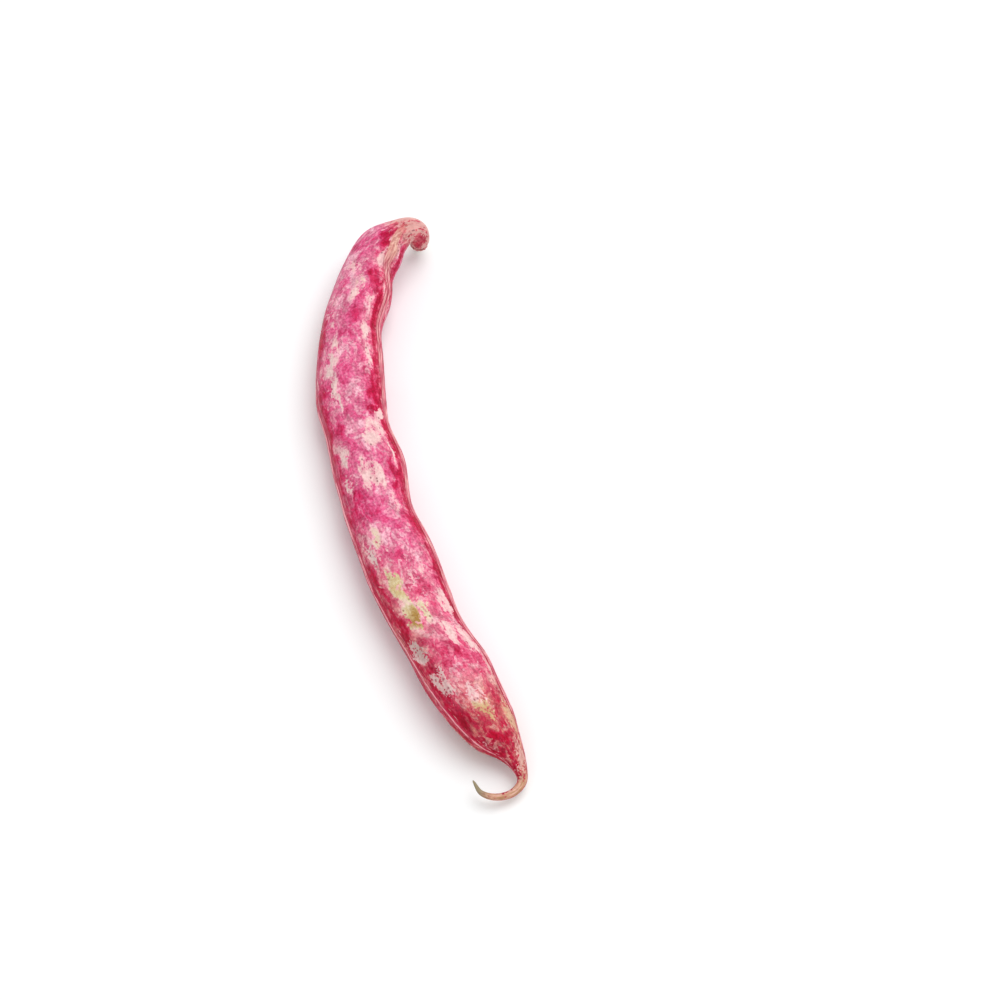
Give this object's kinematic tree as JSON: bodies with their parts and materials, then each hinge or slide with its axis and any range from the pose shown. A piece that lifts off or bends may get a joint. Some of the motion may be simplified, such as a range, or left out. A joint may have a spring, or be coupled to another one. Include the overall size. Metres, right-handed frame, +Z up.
{
  "type": "borlotti bean pod",
  "caption": "Curved bean pod lying on its side, pink and crimson mottled over cream, with a hooked neck, a dried calyx and a snapped stalk at one end and a curled beak at the other.",
  "frame": {"origin": "on the surface that the pod lies on, below the middle of the whole pod's outline", "axes": "+Z up from the surface, +Y towards the stalk end, -Y towards the beak, +X towards the ventral suture at mid length"},
  "size_m": [0.0485, 0.1554, 0.0147],
  "materials": {
    "pod_skin": "satin fresh skin, cream mottled with pink and crimson",
    "dried_calyx": "dry, matt, papery",
    "green_stalk": "matt, finely ribbed, brown at the break"
  },
  "bodies": {
    "root": {"pod": "pod_skin", "calyx": "dried_calyx", "stalk": "green_stalk"}
  },
  "joints": []
}
